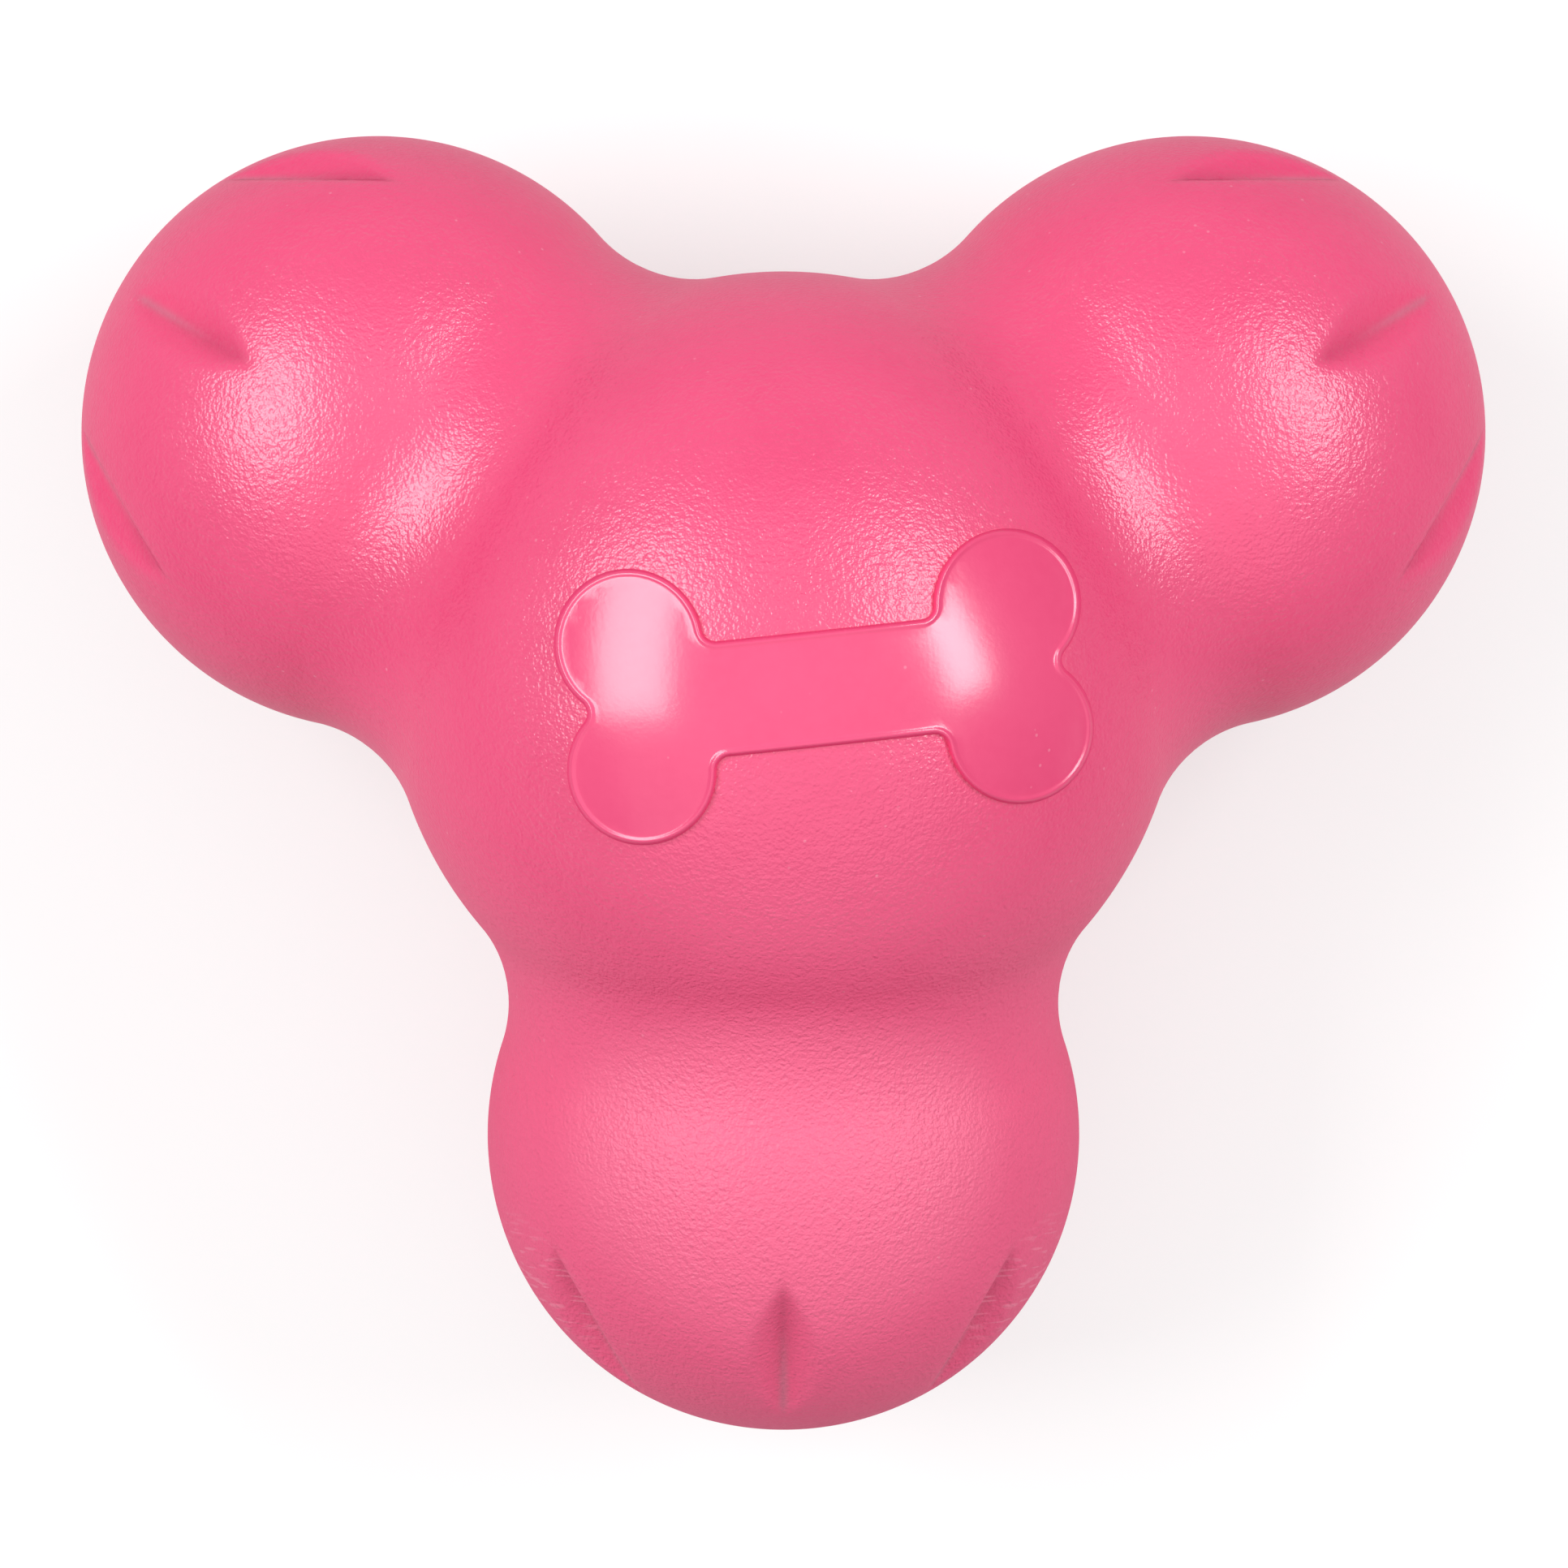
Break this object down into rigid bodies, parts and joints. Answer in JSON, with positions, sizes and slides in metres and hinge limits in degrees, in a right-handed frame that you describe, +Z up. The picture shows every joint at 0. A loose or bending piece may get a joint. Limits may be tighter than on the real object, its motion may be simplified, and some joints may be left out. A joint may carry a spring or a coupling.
{
  "type": "chew toy",
  "caption": "Rubber dog chew toy: a hollow round hub with a treat mouth underneath and solid drooping lobes with grooved tips around it.",
  "frame": {"origin": "middle of the flat lip round the treat mouth, in the plane of the lip", "axes": "+Z up along the mouth's axis and out through the closed dome, -Y along one lobe, the lower one in the picture, +X to the picture's right"},
  "size_m": [0.1268, 0.1171, 0.0743],
  "materials": {
    "rubber": "satin, faint orange peel",
    "rubber_smooth": "smooth, glossier"
  },
  "bodies": {
    "root": {"hub": "rubber", "lobe_lower": "rubber", "lobe_right": "rubber", "lobe_left": "rubber", "mouth_rim": "rubber", "dome_motif": "rubber_smooth"}
  },
  "joints": []
}
